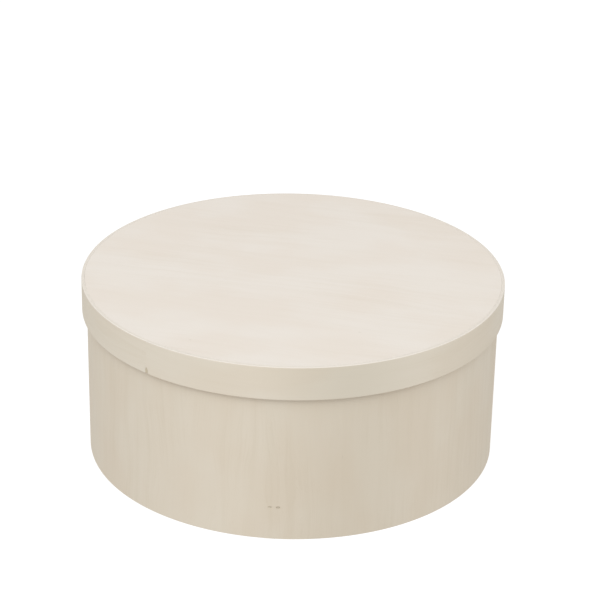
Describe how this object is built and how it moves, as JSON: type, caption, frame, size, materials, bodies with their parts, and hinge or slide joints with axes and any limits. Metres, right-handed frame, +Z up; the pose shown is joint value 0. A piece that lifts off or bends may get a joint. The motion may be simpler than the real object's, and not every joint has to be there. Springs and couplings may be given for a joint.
{
  "type": "hat box",
  "caption": "Round wooden hat box: a bent plywood wall with a glued-in bottom, and a flat overhanging lid with a bent rim that lifts straight off.",
  "frame": {"origin": "centre of the base, on the surface that the box stands on", "axes": "+Z up through the centre of the lid; -Y is the front, where the wall's stapled lap is, and +X is to the right as seen from the front"},
  "size_m": [0.4, 0.4, 0.175],
  "materials": {
    "wall_plywood": "matt",
    "rim_plywood": "matt",
    "disc_plywood": "matt",
    "staple_wire": "galvanised"
  },
  "bodies": {
    "box": {"wall_hoop": "wall_plywood", "bottom_disc": "disc_plywood", "wall_staple_lower": "staple_wire", "wall_staple_upper": "staple_wire"},
    "lid": {"rim_hoop": "rim_plywood", "lid_disc": "disc_plywood"}
  },
  "joints": [
    {"name": "lid_lift", "type": "slide", "parent": "box", "child": "lid", "axis": [0, 0, 1], "range_m": [0, 0.2]}
  ]
}
